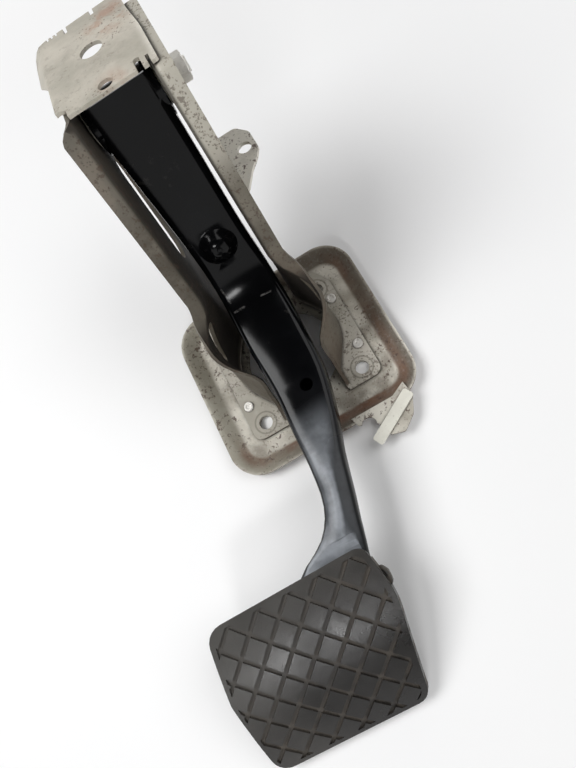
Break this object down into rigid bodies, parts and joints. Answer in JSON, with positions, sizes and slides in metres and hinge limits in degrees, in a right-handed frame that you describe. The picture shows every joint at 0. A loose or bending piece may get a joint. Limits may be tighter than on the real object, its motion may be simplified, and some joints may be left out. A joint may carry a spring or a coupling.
{
  "type": "brake pedal assembly",
  "caption": "Pressed-steel brake pedal hung on a bolt in its bulkhead bracket, with a ribbed rubber pad that swings on the pivot.",
  "frame": {"origin": "centre of the push rod's hole in the base plate's back face", "axes": "+Z out of the bulkhead towards the driver, +Y up the bulkhead towards the pivot, +X across to the right in the picture"},
  "size_m": [0.1899, 0.3775, 0.1847],
  "materials": {
    "plated_sheet": "dull plated steel, speckled and lightly rusted",
    "primed_sheet": "olive-brown passivated sheet",
    "black_paint": "black semi-gloss paint, scratched",
    "bolt_steel": "zinc-plated steel",
    "bush_plastic": "natural plastic",
    "cream_clip": "cream plastic",
    "pad": "matt black rubber"
  },
  "bodies": {
    "bracket": {"base_plate": "plated_sheet", "left_cheek": "primed_sheet", "right_cheek": "primed_sheet", "top_plate": "plated_sheet", "ear_bracket": "plated_sheet", "edge_clip": "cream_clip", "rivet_lu": "bolt_steel", "rivet_ll": "bolt_steel", "rivet_ru": "bolt_steel", "rivet_rl": "bolt_steel", "pivot_bolt": "bolt_steel", "pivot_nut": "bolt_steel", "nut_spacer": "bolt_steel", "head_washer": "bolt_steel", "pivot_sleeve": "bolt_steel"},
    "pedal": {"arm_shell": "black_paint", "arm_back": "black_paint", "hub_tube": "black_paint", "left_bush": "bush_plastic", "right_bush": "bush_plastic", "ball_socket": "bolt_steel", "foot_plate": "black_paint", "pad_rubber": "pad"}
  },
  "joints": [
    {"name": "pedal_pivot", "type": "hinge", "parent": "bracket", "child": "pedal", "pos_m": [0, 0.102, 0.15406], "axis": [-1, 0, 0], "range_deg": [0, 45]}
  ]
}
